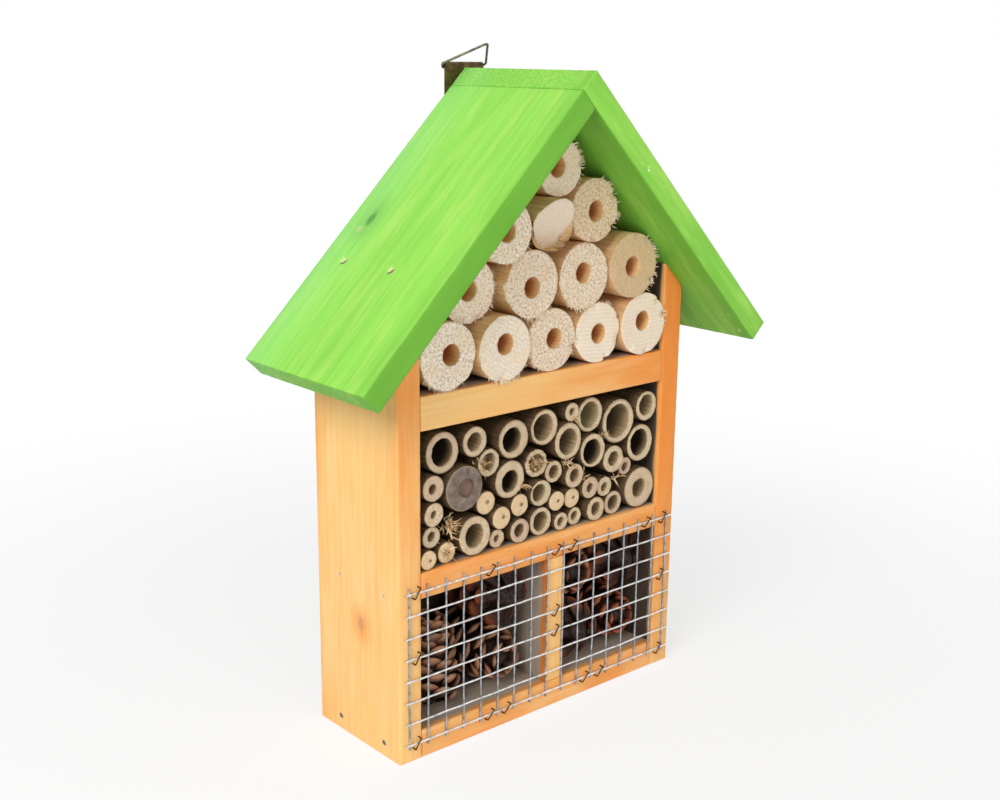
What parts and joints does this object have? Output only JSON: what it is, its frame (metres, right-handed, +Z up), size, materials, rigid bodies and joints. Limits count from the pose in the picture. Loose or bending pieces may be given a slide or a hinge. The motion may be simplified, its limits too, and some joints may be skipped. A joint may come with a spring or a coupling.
{
  "type": "insect hotel",
  "caption": "Wall-hung wooden insect hotel: a pitched-roof house with drilled sticks, cut reeds and pine cones behind stapled wire mesh, hung by a swinging wire ring.",
  "frame": {"origin": "middle of the underside of the floor board, on which the house stands", "axes": "+X to the right seen from the front, +Y to the back (the wall), +Z up"},
  "size_m": [0.2376, 0.0881, 0.3054],
  "materials": {
    "orange_wood": "orange-brown stain on planed softwood, grain showing",
    "plain_wood": "bare thin board",
    "green_wood": "bright green stain on planed softwood, grain showing",
    "stick_wood": "bare turned sticks with fibrous sawn ends",
    "reed_cane": "dry greyish cane with dark bores",
    "cone_wood": "dry brown woody scales",
    "mesh_wire": "galvanised, satin",
    "staple_bronze": "dull dark bronze",
    "hanger_bronze": "dull dark bronze with worn edges",
    "ring_wire": "grey-olive wire",
    "nail_steel": "plain steel, slightly tarnished"
  },
  "bodies": {
    "house": {"side_panel_left": "orange_wood", "side_panel_right": "orange_wood", "floor_board": "orange_wood", "lower_shelf": "orange_wood", "upper_shelf": "orange_wood", "divider": "orange_wood", "back_panel": "plain_wood", "roof_board_left": "green_wood", "roof_board_right": "green_wood", "side_nails": "nail_steel", "divider_nails": "nail_steel", "back_nails": "nail_steel", "roof_nails": "nail_steel", "stick_01": "stick_wood", "stick_02": "stick_wood", "stick_03": "stick_wood", "stick_04": "stick_wood", "stick_05": "stick_wood", "stick_06": "stick_wood", "stick_07": "stick_wood", "stick_08": "stick_wood", "stick_09": "stick_wood", "stick_10": "stick_wood", "stick_11": "stick_wood", "stick_12": "stick_wood", "stick_13": "stick_wood", "reed_01": "reed_cane", "reed_02": "reed_cane", "reed_03": "reed_cane", "reed_04": "reed_cane", "reed_05": "reed_cane", "reed_06": "reed_cane", "reed_07": "reed_cane", "reed_08": "reed_cane", "reed_09": "reed_cane", "reed_10": "reed_cane", "reed_11": "reed_cane", "reed_12": "reed_cane", "reed_13": "reed_cane", "reed_14": "reed_cane", "reed_15": "reed_cane", "reed_16": "reed_cane", "reed_17": "reed_cane", "reed_18": "reed_cane", "reed_19": "reed_cane", "thin_reeds_low": "reed_cane", "thin_reeds_high": "reed_cane", "pine_cone_1": "cone_wood", "pine_cone_2": "cone_wood", "pine_cone_3": "cone_wood", "pine_cone_4": "cone_wood", "pine_cone_5": "cone_wood", "pine_cone_6": "cone_wood", "pine_cone_7": "cone_wood", "wire_mesh": "mesh_wire", "mesh_staples": "staple_bronze", "hanger_plate": "hanger_bronze", "hanger_screws": "nail_steel"},
    "ring": {"hanger_ring": "ring_wire"}
  },
  "joints": [
    {"name": "ring_swing", "type": "hinge", "parent": "house", "child": "ring", "pos_m": [0, 0.03203, 0.29494], "axis": [1, 0, 0], "range_deg": [-226, 27]}
  ]
}
